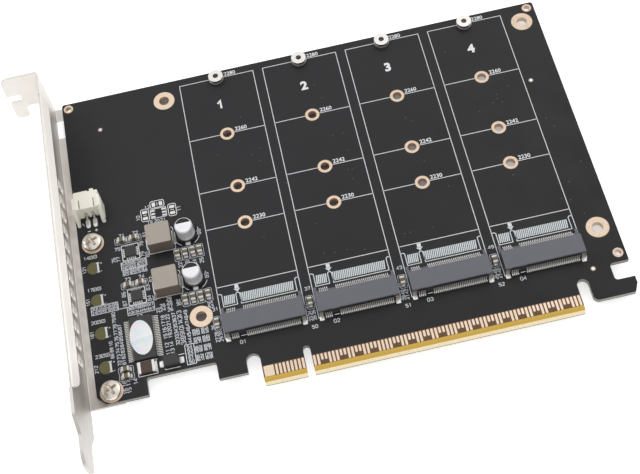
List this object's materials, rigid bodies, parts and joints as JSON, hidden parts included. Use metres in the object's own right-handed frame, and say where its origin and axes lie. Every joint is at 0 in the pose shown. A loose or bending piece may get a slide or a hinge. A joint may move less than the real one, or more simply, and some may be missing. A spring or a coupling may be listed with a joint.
{
  "type": "nvme adapter card",
  "caption": "Edge-connector adapter card that carries solid-state drives in keyed sockets, with a folded, vented slot bracket, standoffs, a fan header and its power parts.",
  "frame": {"origin": "centre of the edge connector's key notch on the tip line, at the board's mid-plane", "axes": "+X along the edge connector away from the slot bracket, +Y from the edge connector's tip towards the drive standoffs, +Z out of the component side"},
  "size_m": [0.1566, 0.1173, 0.0195],
  "materials": {
    "solder_mask": "semi-gloss black solder mask over glass-fibre laminate, white print",
    "gold": "gold-plated copper",
    "nickel_sheet": "bright nickel-plated steel sheet",
    "nickel_screw": "nickel-plated steel",
    "tin": "tinned metal and solder",
    "socket_plastic": "dark blue-grey moulded plastic, fine grain",
    "header_plastic": "cream nylon",
    "ferrite_mould": "moulded grey-brown ferrite compound",
    "drawn_aluminium": "drawn aluminium can, polarity segment in black",
    "black_mould": "black epoxy moulding",
    "capacitor_ceramic": "unglazed tan ceramic",
    "blank_paper": "white paper label, blank"
  },
  "bodies": {
    "root": {"bracket": "nickel_sheet", "bracket_screws": "nickel_screw", "capacitor_base_1": "black_mould", "capacitor_base_2": "black_mould", "capacitor_can_1": "drawn_aluminium", "capacitor_can_2": "drawn_aluminium", "capacitor_leads_1": "tin", "capacitor_leads_2": "tin", "ceramic_capacitor_bodies": "capacitor_ceramic", "ceramic_capacitor_ends": "tin", "circuit_board": "solder_mask", "clock_buffer_body": "black_mould", "clock_buffer_leads": "tin", "converter_chip_1": "black_mould", "converter_chip_2": "black_mould", "diode_body": "black_mould", "diode_leads": "tin", "drive_socket_1": "socket_plastic", "drive_socket_2": "socket_plastic", "drive_socket_3": "socket_plastic", "drive_socket_4": "socket_plastic", "drive_standoff_1": "tin", "drive_standoff_2": "tin", "drive_standoff_3": "tin", "drive_standoff_4": "tin", "edge_contacts_back": "gold", "edge_contacts_front": "gold", "fan_header_feet": "tin", "fan_header_housing": "header_plastic", "fan_header_pins": "tin", "fuse_body": "black_mould", "fuse_caps": "tin", "inductor_body_1": "ferrite_mould", "inductor_body_2": "ferrite_mould", "inductor_terminals_1": "tin", "inductor_terminals_2": "tin", "oval_sticker": "blank_paper", "socket_anchors_1": "tin", "socket_anchors_2": "tin", "socket_anchors_3": "tin", "socket_anchors_4": "tin", "socket_contacts_1": "tin", "socket_contacts_2": "tin", "socket_contacts_3": "tin", "socket_contacts_4": "tin"}
  },
  "joints": []
}
